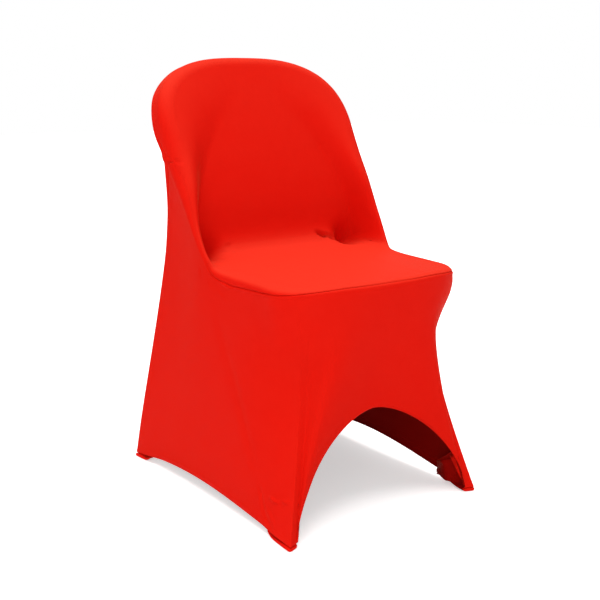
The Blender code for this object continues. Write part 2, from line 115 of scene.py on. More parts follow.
runSteps = np.hypot(np.diff(backSeat["midY"]), np.diff(backSeat["midZ"]))
runStations = np.concatenate(([0.0], np.cumsum(runSteps)))
runLength = runStations[-1]

# grid lines counted in the solid's own cells, closer together near the edges, round the gusset's
# point, at the dimples and towards the front corners
cells = {"across": 13, "along": 38, "roll": 3, "point": 9}
edgeLines = np.concatenate((np.linspace(0, 1, 9)[:-1] ** 1.2, np.linspace(1, 3, 10)[:-1],
                            np.linspace(3, 4, 6)[:-1]))
acrossHalf = np.concatenate((edgeLines, np.linspace(4, 9, 44, endpoint=False), np.linspace(9, cells["across"], 12)))
acrossLines = np.concatenate((acrossHalf - cells["across"], cells["across"] - acrossHalf[-2::-1]))
alongBands = ((4, 9, 18), (9, 12, 22), (12, 16, 13), (16, 19.5, 32), (19.5, 29, 26), (29, 34, 34))
alongLines = np.concatenate([edgeLines] + [np.linspace(a, b, n, endpoint=False) for a, b, n in alongBands]
                            + [[34.0], cells["along"] - edgeLines[::-1]])
pointRow = int(np.argmin(np.abs(alongLines - cells["point"])))


def run(name, q):
    return spline(runStations, backSeat[name], q)


def guide(x, q):
    # the stretched surface before its edges roll: the middle run blends into the side run
    # from wingFrom out to the ridge. Also the way in which its edges turn.
    ridge, start = run("halfWidth", q) - run("radius", q), run("wingFrom", q)
    share = smoothStep((np.abs(x) - start) / (ridge - start))
    y = run("midY", q) * (1 - share) + run("sideY", q) * share
    z = run("midZ", q) * (1 - share) + run("sideZ", q) * share
    dy = run("sideY", q + .004) - run("sideY", q - .004)
    dz = run("sideZ", q + .004) - run("sideZ", q - .004)
    length = np.hypot(dy, dz)
    level = backSeat["edgeLevel"] * smoothStep(1 - q / backSeat["edgeReach"])
    return np.stack([x, y, z], -1), np.stack([np.zeros_like(dy), -dz / length, dy / length + level], -1)


def sink(points):
    # bell-shaped dimples where the cloth sinks between the seat and the chair's frame
    x, y, z = np.moveaxis(points, -1, 0)
    dx, dy, dz = backSeat["dimple"]
    near = bump(np.abs(x) - dx, backSeat["dimpleWide"]) * bump(y - dy, backSeat["dimpleLong"])
    depth = backSeat["dimpleDeep"] * near * bump(z - dz, backSeat["dimpleLong"])
    return points + np.stack([np.zeros_like(x), .75 * depth, -.66 * depth], -1)


def outline(across, along, inset):
    # place in the panel's own plane, inset from its outline of two superellipse ends
    b = backSeat
    topMid, frontMid = b["topHeight"], runLength - b["frontHeight"]
    topHigh, frontHigh = b["topHeight"] - inset, b["frontHeight"] - inset
    qTop = topMid - topHigh * superellipse(b["topStart"] * across, b["topPower"])
    qFront = frontMid + frontHigh * superellipse(b["frontStart"] * across, b["frontPower"])
    cornerTop = topMid - topHigh * superellipse(b["topStart"], b["topPower"])
    cornerFront = frontMid + frontHigh * superellipse(b["frontStart"], b["frontPower"])
    qSide = cornerTop + (cornerFront - cornerTop) * along
    side = run("halfWidth", qSide) - inset
    side = side * superellipse(np.clip((topMid - qSide) / topHigh, 0, 1), b["topPower"])
    side = side * superellipse(np.clip((qSide - frontMid) / frontHigh, 0, 1), b["frontPower"])
    return side * across, qTop + (qFront - qTop) * along


def rolled(across, along, turned, wall):
    # a quarter circle of the edge's radius, as far as the angle turned, then a straight wall
    radius = run("radius", outline(across, along, 0.0)[1])
    x, q = outline(across, along, radius * (1 - np.sin(turned)))
    surface, inward = guide(x, q)
    return sink(surface) + inward * (radius * (1 - np.cos(turned)) + wall)[..., None]


def seamTurn(across, along):
    flat = outline(across, along, 0.0)[1]
    turn = np.interp(flat, backSeat["seamDown"], backSeat["seamTurn"])
    return np.radians(turn), np.interp(flat, backSeat["seamDown"], backSeat["seamWall"])


def backSeatGrid():
    # rings that run parallel to the edge carry the roll and the wall, the rest is the middle
    i, j = np.meshgrid(alongLines, acrossLines, indexing="ij")
    ring = np.minimum(np.minimum(i, cells["along"] - i), np.minimum(cells["across"] - np.abs(j), cells["roll"]))
    across = np.clip(j / (cells["across"] - ring), -1, 1)
    along = (i - ring) / (cells["along"] - 2 * ring)
    turn, wall = seamTurn(across, along)
    radius = run("radius", outline(across, along, 0.0)[1])
    travelled = (1 - ring / cells["roll"]) * (radius * turn + wall)
    return rolled(across, along, np.minimum(travelled / radius, turn), np.maximum(travelled - radius * turn, 0))


# the skirt round the front and both sides, with the points that run up the back
skirt = {
    "footX": .2145, "footY": -.006, "rearFootX": .2170, "rearFootY": .538, "hemFloor": .008,
    "archHeight": .187, "archHalfWidth": .1975, "archPower": 1.63, "archIn": .036,
    "footShare": .93, "sideIn": .006, "cornerReach": .32, "cornerBack": .20,
    "waistForward": .024, "waistIn": .014, "riseLeft": .016, "riseRight": .037,
    "pullAt": (0, .04, .10, .16, .26, .46, .70, 1), "pull": (0, .001, .009, .021, .038, .042, .027, 0),
}
hemLines = np.array([0, .0003, .0007, .0012, .002, .003, .0045, .006, .0075, .009, .0105, .012, .0135, .016, .020])
seamLines = np.array([0, .0006, .0013, .0022, .0033, .0045, .006, .008, .010, .013, .016, .020, .025, .030, .038])
middleShares = np.concatenate((np.linspace(0, .78, 36, endpoint=False), np.linspace(.78, 1, 42)))[1:-1, None]


def hemCurve(across, back):
    # a superellipse arch over the front feet, then a bowed line back along each side
    s = skirt
    swing = np.clip(np.abs(across) / s["footShare"], 0, 1) * np.pi / 2
    power = 2 / s["archPower"]
    toe = np.clip((np.abs(across) - s["footShare"]) / (1 - s["footShare"]), 0, 1)
    x = s["archHalfWidth"] * np.sin(swing) ** power + (s["footX"] - s["archHalfWidth"]) * toe
    y = s["footY"] + (s["archIn"] - s["footY"]) * (1 - (x / s["footX"]) ** 2)
    z = s["hemFloor"] + s["archHeight"] * np.clip(np.cos(swing), 0, 1) ** power
    bow = np.sin(np.pi * np.clip(back, 0, 1) ** 1.25)
    rise = np.where(across < 0, s["riseLeft"], s["riseRight"])
    side = back > 0
    x = np.where(side, s["footX"] + (s["rearFootX"] - s["footX"]) * back - s["sideIn"] * bow, x)
    y = np.where(side, s["footY"] + (s["rearFootY"] - s["footY"]) * back, y)
    z = np.where(side, s["hemFloor"] + rise * bow, z)
    return np.stack([np.sign(across) * x, y, z], -1)


def skirtGrid():
    # columns of points from the seam down to the hem: the rest of the rolled edge, then a
    # chord that starts the way the edge runs, drawn in at the front corners and at the waist
    s = skirt
    sideLines = alongLines[pointRow:-1] / cells["along"]
    across = np.concatenate([-np.ones(len(sideLines)), acrossLines / cells["across"], np.ones(len(sideLines))])
    along = np.concatenate([sideLines, np.ones(len(acrossLines)), sideLines[::-1]])
    turn, wall = seamTurn(across, along)
    edge = rolled(across, along, np.full_like(turn, np.pi / 2), wall)
    flat = outline(across, along, 0.0)[1]
    radius, down = run("radius", flat), guide(np.zeros_like(flat), flat)[1]
    back = np.clip((1 - along) / (1 - cells["point"] / cells["along"]), 0, 1) ** .92
    hem = hemCurve(across, back)
    rollLength, drop = radius * (np.pi / 2 - turn), np.linalg.norm(hem - edge, axis=-1)
    total = rollLength + drop
    low, high = seamLines[-1], total - hemLines[-1]
    middle = low + (high - low) * middleShares
    length = np.concatenate([seamLines[:, None] + 0 * total, middle, total - hemLines[::-1, None]])
    roll = rolled(across + 0 * length, along + 0 * length, turn + np.clip(length / radius, 0, np.pi / 2 - turn), wall)
    t = np.clip((length - rollLength) / drop, 0, 1)
    corner = bump(np.abs(across) - 1, s["cornerReach"]) * bump(back, s["cornerBack"])
    pull = corner * spline(s["pullAt"], s["pull"], t)
    nip = smoothStep((back - .45) / .55) * 6.75 * t * (1 - t) ** 2
    sign, chord = np.sign(across), hem - edge
    drawn = np.stack([-sign * (.72 * pull + s["waistIn"] * nip), .69 * pull - s["waistForward"] * nip, 0 * pull], -1)
    lead = (down * drop[:, None] * .9 - chord) * (.35 * t * (1 - t) ** 2)[..., None]
    return np.where(t[..., None] > 0, edge + chord * t[..., None] + lead + drawn, roll), length


# the panel over the rear
rear = {
    "archHeight": .150, "archIn": .030, "power": 3.6, "risePower": 2.4, "round": .4,
    # its middle at a share of the way down, and how far it stands behind the side seams
    "share": (0, .05, .13, .24, .30, .40, .50, .66, .84, 1),
    "z": (.7980, .7720, .7200, .6500, .6150, .5560, .4950, .3950, .2700, .1560),
    "bulge": (0, .014, .033, .053, .057, .037, .013, .008, .011, .014),
}


def rearHem(a):
    hem = hemCurve(a, np.zeros_like(a))
    rise = (hem[:, 2] - skirt["hemFloor"]) * rear["archHeight"] / skirt["archHeight"] + skirt["hemFloor"]
    pull = rear["archIn"] * (1 - (hem[:, 0] / skirt["footX"]) ** 2)
    return np.stack([hem[:, 0] * skirt["rearFootX"] / skirt["footX"], skirt["rearFootY"] - pull, rise], -1)


def rearGrid(seat, skirtPoints, skirtLength):
    # rows between the side seams: a superellipse bulge behind them, its middle at its own
    # height, then drawn to the top seam and to the arched hem
    upper = alongLines[:pointRow + 1] / cells["along"]
    left = -np.ones_like(upper)
    turn, wall = seamTurn(left, upper)
    toRim = rolled(left, upper, np.full_like(turn, np.pi / 2), wall) - rolled(left, upper, turn, wall)
    radius = run("radius", outline(-1.0, upper[-1], 0.0)[1])
    turned = np.minimum(turn[-1] + skirtLength[1:, 0] / radius, np.pi / 2)
    level = np.full_like(turned, upper[-1])
    below = rolled(-np.ones_like(turned), level, np.full_like(turned, np.pi / 2), 0 * turned)
    below = below - rolled(-np.ones_like(turned), level, turned, 0 * turned)
    side = np.concatenate([seat[:pointRow + 1, 0], skirtPoints[1:, 0]])
    rim = side + np.concatenate([toRim, below])
    width = np.abs(rim[:, 0]) * (1 + rear["round"]) - np.abs(side[:, 0]) * rear["round"]
    share = lengthsAlong(side, 0)
    share = share / share[-1]
    a = acrossLines / cells["across"]
    swing = a * (1.4 - .4 * a * a)
    midZ = spline(rear["share"], rear["z"], share)
    bulge = spline(rear["share"], rear["bulge"], share)
    z = side[:, 2][:, None] + (midZ - side[:, 2])[:, None] * (1 - np.abs(swing) ** rear["risePower"])
    edge = np.concatenate([rim[::-1], seat[0, 1:len(a) // 2 + 1]])
    y = np.interp(z, edge[:, 2], edge[:, 1]) + np.interp(z, midZ[::-1], bulge[::-1]) * superellipse(swing, rear["power"])
    points = np.stack([width[:, None] * swing, y, z], -1)
    nearTop = np.clip(1 - share / .42, 0, 1) ** 2
    nearHem = np.clip((share - .30) / .70, 0, 1) ** 2
    points = points + (seat[0] - points[0])[None] * nearTop[:, None, None]
    points = points + (rearHem(a) - points[-1])[None] * nearHem[:, None, None]
    points[:, 0] = side
    points[:, -1] = side * np.array([-1.0, 1.0, 1.0])
    return points


# cloth details that every panel shares
cloth = {
    "thick": .0013, "seamDip": .0015, "seamWide": .0013, "lip": .0008, "lipAt": .0034, "lipWide": .0020,
    "hemDeep": .0110, "hemRise": .0004, "hemDouble": .0009, "stitchDip": .0005, "stitchAt": .0098,
    "curl": .0042, "curlReach": .0100, "curlFromFoot": (.045, .100), "levelFrom": .22, "levelTo": .92,
    "showsDown": (0, .140, .175, .197, .360, .400, .440), "shows": (1, .8, .12, .05, .05, .6, 1),
}

# creases in the stretched cloth, from the floor: a line of points, half width, height and end fade
creases = (
    {"points": ((-.2160, .3510, .6229), (-.2111, .3430, .6202), (-.2010, .3365, .6190)), "wide": .0030, "rise": -.0022, "fade": .4},
    {"points": ((-.2131, .3433, .6165), (-.2156, .3428, .6097), (-.2176, .3434, .6025)), "wide": .0022, "rise": -.0010, "fade": .4},
    {"points": ((-.2097, .3352, .6110), (-.2133, .3330, .5987), (-.2162, .3305, .5860)), "wide": .0024, "rise": -.0011, "fade": .4},
    {"points": ((-.2045, .3302, .6056), (-.2124, .3213, .5799), (-.2150, .3108, .5542)), "wide": .0040, "rise": -.0012, "fade": .4},
    {"points": ((-.2126, .2785, .4430), (-.2116, .2714, .4292), (-.2106, .2685, .4160)), "wide": .0022, "rise": -.0016, "fade": .4},
    {"points": ((-.2091, .2537, .4172), (-.2073, .2471, .4000)), "wide": .0024, "rise": .0010, "fade": .4},
    {"points": ((-.2051, .2304, .4008), (-.2035, .2166, .3940), (-.2019, .1965, .3848)), "wide": .0026, "rise": .0012, "fade": .4},
    {"points": ((-.2048, .2260, .4215), (-.2020, .2019, .4150), (-.2007, .1790, .4106)), "wide": .0034, "rise": .0022, "fade": .4},
    {"points": ((.0850, .3310, .4700), (.1100, .3280, .4610), (.1300, .3262, .4545), (.1560, .3300, .4460)),
     "wide": .0038, "rise": -.0140, "fade": .3},
    {"points": ((.1450, .3300, .4520), (.1600, .3340, .4490), (.1780, .3360, .4460)), "wide": .0110, "rise": -.0090, "fade": .4},
    {"points": ((.1760, .3399, .4420), (.1921, .3015, .4450), (.1960, .2672, .4464), (.2060, .2446, .4428)),
     "wide": .0032, "rise": -.0034, "fade": .3},
    {"points": ((-.1000, .3300, .4650), (-.1300, .3262, .4545), (-.1560, .3300, .4460)), "wide": .0036, "rise": -.0036, "fade": .3},
    {"points": ((-.2049, .1060, .0940), (-.2067, .0919, .0656), (-.2095, .0791, .0395),
                (-.2115, .0582, .0222), (-.2134, .0377, .0123)), "wide": .0048, "rise": -.0018, "fade": .3},
    {"points": ((-.2082, .0790, .0500), (-.2092, .0644, .0394), (-.2102, .0490, .0285)), "wide": .0030, "rise": .0008, "fade": .4},
    {"points": ((-.2066, .0720, .0590), (-.2078, .0574, .0452), (-.2095, .0390, .0310)), "wide": .0026, "rise": -.0007, "fade": .4},
    {"points": ((-.2047, .0720, .0702), (-.2038, .0570, .0671), (-.2020, .0380, .0667)), "wide": .0024, "rise": .0036, "fade": .4},
    {"points": ((-.2008, .0385, .0714), (-.1995, .0280, .0721), (-.1969, .0180, .0764)), "wide": .0022, "rise": .0030, "fade": .4},
    {"points": ((-.2035, .0555, .0681), (-.2025, .0440, .0659), (-.2019, .0295, .0643)), "wide": .0024, "rise": -.0012, "fade": .4},
    {"points": ((-.2065, .2417, .3972), (-.2041, .2209, .3318), (-.2032, .1913, .2652), (-.2032, .1667, .2128),
                (-.2032, .1454, .1673), (-.2039, .1171, .1117), (-.2052, .1001, .0826)), "wide": .0110, "rise": -.0022, "fade": .3},
)


def seamRelief(distance, shows):
    # a narrow dip at the seam, then a soft lip over the seam allowance, as strong as it shows there
    return shows * (-cloth["seamDip"] * bump(distance, cloth["seamWide"])
                    + cloth["lip"] * bump(distance - cloth["lipAt"], cloth["lipWide"]))


def seamShows(across, along):
    # the seam is stretched flat along the wings
    return np.interp(outline(across, along, 0.0)[1], cloth["showsDown"], cloth["shows"])


def hemRelief(distance):
    # the turned-up hem stands proud as far as its stitches, which sit in a dip; its edge is round
    band = cloth["hemRise"] * (1 - smoothStep((distance - cloth["hemDeep"]) / .0025))
    stitch = -cloth["stitchDip"] * bump(distance - cloth["stitchAt"], .0012)
    edge = -.0007 * np.clip(1 - distance / .0009, 0, 1) ** 2
    return band + stitch + edge


def hemCurl(points, distance):
    # the hem curls in under itself, as the square of the way to its edge, but not round a foot
    feet = [(skirt["footX"], skirt["footY"]), (skirt["rearFootX"], skirt["rearFootY"])]
    away = np.min([np.hypot(np.abs(points[..., 0]) - x, points[..., 1] - y) for x, y in feet], axis=0)
    near, far = cloth["curlFromFoot"]
    curl = -cloth["curl"] * np.clip(1 - distance / cloth["curlReach"], 0, 1) ** 2
    return curl * smoothStep((away - near) / (far - near))


def creaseRelief(points, lines):
    # each line is a soft trough or ridge: a bell across the line, faded at both ends
    total = np.zeros(points.shape[:-1])
    for line in lines:
        knots = np.array(line["points"], float)
        steps = np.arange(len(knots))
        fine = np.linspace(0, len(knots) - 1, 6 * (len(knots) - 1) + 1)
        path = np.stack([spline(steps, knots[:, k], fine) if len(knots) > 2 else np.interp(fine, steps, knots[:, k])
                         for k in range(3)], -1)
        near, at = np.full(points.shape[:-1], 1e9), np.zeros(points.shape[:-1])
        for n in range(len(path) - 1):
            leg = path[n + 1] - path[n]
            share = np.clip((points - path[n]) @ leg / (leg @ leg), 0, 1)
            distance = np.linalg.norm(points - path[n] - share[..., None] * leg, axis=-1)
            at = np.where(distance < near, (n + share) / (len(path) - 1), at)
            near = np.minimum(near, distance)
        fade = np.clip(np.minimum(at, 1 - at) / line["fade"], 0, 1)
        total += line["rise"] * bump(near, line["wide"]) * smoothStep(fade)
    return total


def addMesh(name, points, faces, materials, uv, stretch, slots=None):
    mesh = bpy.data.meshes.new(name)
    mesh.from_pydata(points - topRest, [], faces)
    for material in materials:
        mesh.materials.append(material)
    if slots is not None:
        mesh.polygons.foreach_set("material_index", slots.astype(np.int32))
    corners = np.zeros(len(mesh.loops), np.int32)
    mesh.loops.foreach_get("vertex_index", corners)
    # the second map carries how much painted sheen each point takes
    for layer, values in (("cloth", uv), ("stretch", np.stack([stretch, 0 * stretch], -1))):
        mesh.uv_layers.new(name=layer)
        mesh.uv_layers[layer].data.foreach_set("uv", values[corners].astype(np.float32).ravel())
    mesh.shade_smooth()
    mesh.update()
    obj = bpy.data.objects.new(name, mesh)
    bpy.context.scene.collection.objects.link(obj)
    return obj


def addPanel(name, outer, normals, thick, materials):
    # a closed skin: the outer grid, an inner one a cloth thickness below it, and a rim
    rows, columns = outer.shape[:2]
    count = rows * columns
    inner = outer - normals * thick[..., None]
    index = np.arange(count).reshape(rows, columns)
    quads = np.stack([index[:-1, :-1], index[1:, :-1], index[1:, 1:], index[:-1, 1:]], -1).reshape(-1, 4)
    rim = np.concatenate([index[0, :-1], index[:-1, -1], index[-1, :0:-1], index[:0:-1, 0]])
    following = np.roll(rim, -1)
    walls = np.stack([rim, following, following + count, rim + count], -1)
    faces = np.concatenate([quads, quads[:, ::-1] + count, walls])
    # the inner face takes the reverse colour: the knit's matt back, darkened as painted shade for the shaded inside of
    # the cover
    slots = np.concatenate([np.zeros(len(quads)), np.ones(len(quads)), np.zeros(len(walls))])
    # the map is in metres of cloth, across and down
    across = lengthsAlong(outer, 1)
    uv = np.stack([across - across[:, [columns // 2]], -lengthsAlong(outer, 0)], -1).reshape(-1, 2)
    # painted sheen: cloth that lies level, over the seat or on an edge, is coloured paler and more orange, as if lit
    # from above
    least, most = cloth["levelFrom"], cloth["levelTo"]
    stretch = smoothStep((normals[..., 2].ravel() - least) / (most - least))
    return addMesh(name, np.concatenate([outer.reshape(-1, 3), inner.reshape(-1, 3)]), faces, materials,
                   np.concatenate([uv, uv]), np.concatenate([stretch, stretch]), slots)


# materials
def linear(hexColour):
    # sRGB hex to linear red, green, blue and alpha
    c = np.array([int(hexColour[k:k + 2], 16) for k in (1, 3, 5)]) / 255
    c = np.where(c <= .04045, c / 12.92, ((c + .055) / 1.055) ** 2.4)
    return (*c.tolist(), 1.0)


def addNode(material, kind, settings=None, **links):
    # one node: its settings, then each input as a value or as another node's output
    node = material.node_tree.nodes.new(kind)
    for key, value in (settings or {}).items():
        setattr(node, key, value)
    for key, value in links.items():
        numbered = key[0] == "i" and key[1:].isdigit()
        socket = node.inputs[int(key[1:])] if numbered else node.inputs[key.replace("_", " ")]
        if isinstance(value, bpy.types.NodeSocket):
            material.node_tree.links.new(value, socket)
        else:
            socket.default_value = value
    return node


# painted sheen: the second colour is mixed in where the cloth faces up
knit = {
    # the reverse colour is the knit's matt back, darkened as painted shade
    "face": "#D7150A", "stretched": "#DE301F", "reverseInShade": "#8C0803", "uneven": .10, "waleMm": 1.5, "courseMm": 1.1,
    "roughness": .55, "sheen": .06, "sheenRoughness": .25, "gloss": .01,
}


def satinKnit(name, colour, stretchedColour, bumpMm):
    # warp-knit polyester and elastane, dyed red: a smooth satin face of fine upright wales,
    # a soft broad gloss and a faint bloom at grazing angles. Where the cloth faces up, a paler,
    # more orange colour is mixed in as painted sheen. The real wales are taken as .4 mm apart,
    # too fine to show, so they are drawn waleMm apart.
    material = bpy.data.materials.new(name)
    material.use_nodes = True
    shader = material.node_tree.nodes["Principled BSDF"]
    place = addNode(material, "ShaderNodeUVMap", {"uv_map": "cloth"}).outputs["UV"]
    scale = addNode(material, "ShaderNodeMapping", None, Vector=place,
                    Scale=(1000 / knit["waleMm"], 1000 / knit["courseMm"], 1)).outputs["Vector"]
    parts = addNode(material, "ShaderNodeSeparateXYZ", None, Vector=scale).outputs
    # wales: one rounded rib each; courses: a shallow wave shifted by half from rib to rib
    ribs = addNode(material, "ShaderNodeMath", {"operation": "SINE"},
                   i0=addNode(material, "ShaderNodeMath", {"operation": "MULTIPLY"}, i0=parts["X"], i1=2 * np.pi).outputs[0])
    loops = addNode(material, "ShaderNodeMath", {"operation": "SINE"},
                    i0=addNode(material, "ShaderNodeMath", {"operation": "MULTIPLY_ADD"}, i0=parts["Y"], i1=2 * np.pi,
                               i2=ribs.outputs[0]).outputs[0])
    height = addNode(material, "ShaderNodeMath", {"operation": "MULTIPLY_ADD"},
                     i0=loops.outputs[0], i1=.4, i2=ribs.outputs[0])
    # soft unevenness of stretched cloth, 15 to 40 mm across
    local = addNode(material, "ShaderNodeTexCoord").outputs["Object"]
    pull = addNode(material, "ShaderNodeTexNoise", None, Vector=local,
                   Scale=26.0, Detail=2.0, Roughness=.5).outputs["Fac"]
    near = addNode(material, "ShaderNodeBump", None, Height=height.outputs[0], Distance=bumpMm / 1000, Strength=1.0)
    soft = addNode(material, "ShaderNodeBump", None, Height=pull, Distance=.0012, Strength=1.0, Normal=near.outputs[0])
    # painted sheen: the share from the second map mixes in the paler colour where the cloth faces up
    stretch = addNode(material, "ShaderNodeSeparateXYZ", None,
                      Vector=addNode(material, "ShaderNodeUVMap", {"uv_map": "stretch"}).outputs["UV"]).outputs["X"]
    share = addNode(material, "ShaderNodeMath", {"operation": "MULTIPLY_ADD", "use_clamp": True},
                    i0=pull, i1=knit["uneven"], i2=stretch).outputs[0]
    tone = addNode(material, "ShaderNodeMix", {"data_type": "RGBA"})
    links = material.node_tree.links
    tones = [s for s in tone.inputs if s.type == "RGBA"]
    tones[0].default_value, tones[1].default_value = linear(colour), linear(stretchedColour)
    links.new(share, tone.inputs[0])
    links.new([s for s in tone.outputs if s.type == "RGBA"][0], shader.inputs["Base Color"])
    links.new(soft.outputs[0], shader.inputs["Normal"])
    shader.inputs["Roughness"].default_value = knit["roughness"]
    shader.inputs["Sheen Weight"].default_value = knit["sheen"]
    shader.inputs["Sheen Roughness"].default_value = knit["sheenRoughness"]
    shader.inputs["Sheen Tint"].default_value = linear("#FFB36F")
    shader.inputs["Specular IOR Level"].default_value = knit["gloss"]
    return material


# the face knit, with painted sheen where it faces up
faceKnit = satinKnit("red satin stretch knit", knit["face"], knit["stretched"], .05)
# the matt reverse, darkened as painted shade, for the inside of the cover and the pockets' inner walls
reverseShadeKnit = satinKnit("red stretch knit, matt reverse in painted shade", knit["reverseInShade"], knit["reverseInShade"], .05)
panelCloth = [faceKnit, reverseShadeKnit]
print("materials made")

# panels
seat = backSeatGrid()
skirtPoints, skirtLength = skirtGrid()
back = rearGrid(seat, skirtPoints, skirtLength)
corner = alongLines.size - 1 - pointRow      # columns of the skirt before its front left corner


def matchSeams(seatN, skirtN, rearN):
    # two panels lean the same way where they meet
    p, n = pointRow, len(acrossLines)
    shared = unit(seatN[p:-1, 0] + skirtN[0, :corner])
    seatN[p:-1, 0], skirtN[0, :corner] = shared, shared
    shared = unit(seatN[-1] + skirtN[0, corner:corner + n])
    seatN[-1], skirtN[0, corner:corner + n] = shared, shared
    shared = unit(seatN[p:-1, -1] + skirtN[0, corner + n:][::-1])
    seatN[p:-1, -1], skirtN[0, corner + n:] = shared, shared[::-1]
    shared = unit(seatN[0] + rearN[0])
    seatN[0], rearN[0] = shared, shared
    for side in (0, -1):
        shared = unit(seatN[1:p + 1, side] + rearN[1:p + 1, side])
        seatN[1:p + 1, side], rearN[1:p + 1, side] = shared, shared
        shared = unit(skirtN[1:, side] + rearN[p + 1:, side])
        skirtN[1:, side], rearN[p + 1:, side] = shared, shared
        skirtN[0, side] = seatN[p, side]


def edgeDistance(points, top=False, bottom=False, sides=False):
    # distance over the cloth from the nearest of the named edges
    distance = np.full(points.shape[:2], 1e3)
    across, down = lengthsAlong(points, 1), lengthsAlong(points, 0)
    if top:
        distance = np.minimum(distance, down)
    if bottom:
        distance = np.minimum(distance, down[-1] - down)
    if sides:
        distance = np.minimum(distance, np.minimum(across, across[:, -1:] - across))
    return distance


seatN, skirtN, rearN = gridNormals(seat), gridNormals(skirtPoints), -gridNormals(back)
matchSeams(seatN, skirtN, rearN)

seatSeams = edgeDistance(seat, top=True, bottom=True, sides=True)
skirtSeams = edgeDistance(skirtPoints, top=True, sides=True)
skirtHem = edgeDistance(skirtPoints, bottom=True)
rearSeams = edgeDistance(back, top=True, sides=True)
rearHemDistance = edgeDistance(back, bottom=True)

seatShows = seamShows(np.sign(acrossLines)[None, :] + 0 * alongLines[:, None],
                      (alongLines / cells["along"])[:, None] + 0 * acrossLines)
seatShows[0], seatShows[-1] = 1, 1
skirtShows = np.concatenate([seatShows[pointRow:-1, 0], np.ones(len(acrossLines)), seatShows[pointRow:-1, 0][::-1]])
rearShows = np.concatenate([seatShows[:pointRow + 1, 0], np.full(len(skirtPoints) - 1, .8)])
seat = seat + seatN * (seamRelief(seatSeams, seatShows) + creaseRelief(seat, creases))[..., None]
skirtRelief = (seamRelief(skirtSeams, skirtShows) + hemRelief(skirtHem)
               + hemCurl(skirtPoints, skirtHem) + creaseRelief(skirtPoints, creases))
rearRelief = (seamRelief(rearSeams, rearShows[:, None]) + hemRelief(rearHemDistance)
              + hemCurl(back, rearHemDistance) + creaseRelief(back, creases))
skirtPoints = skirtPoints + skirtN * skirtRelief[..., None]
back = back + rearN * rearRelief[..., None]

thickAtHem = [cloth["thick"] + cloth["hemDouble"] * (d < cloth["hemDeep"]) for d in (skirtHem, rearHemDistance)]
seatKnit = addPanel("back_seat_knit", seat, seatN, np.full(seat.shape[:2], cloth["thick"]), panelCloth)
skirtKnit = addPanel("skirt_knit", skirtPoints, skirtN, thickAtHem[0], panelCloth)
rearKnit = addPanel("rear_knit", back[:, ::-1], rearN[:, ::-1], thickAtHem[1][:, ::-1], panelCloth)
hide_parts("back_seat_panel")
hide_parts("skirt_panel")
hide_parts("rear_panel")
print("panels made")

# foot pockets
pocket = {
    "outerHeight": .084, "innerHeight": .036, "sideCells": 4, "bulge": .008, "around": 96,
    "inset": .0030, "endInset": .0065, "endFrom": .012, "endReach": .030,
    "lip": .0042, "lipReach": .048, "lipEvenly": .6, "lipTop": .0048, "lipTopFade": .0028,
    "lipEnd": .072, "lipEndFade": .012, "behind": .025, "shadedReverseWall": -.2, "shadedReverseFrom": .012,
    "round": .0045, "lift": .013, "liftReach": .030,
    "footRings": (0, .0004, .0012, .0024, .0040, .0055, .0066, .0078, .0100),
    "wallRings": (.12, .3, .5, .7, .85, 1),
}


def crossing(column, z):
    # where a column that runs down passes a height, or its lowest point if that is higher
    x, y, height = column[np.argsort(column[:, 2])].T
    return np.array([np.interp(z, height, x), np.interp(z, height, y)])


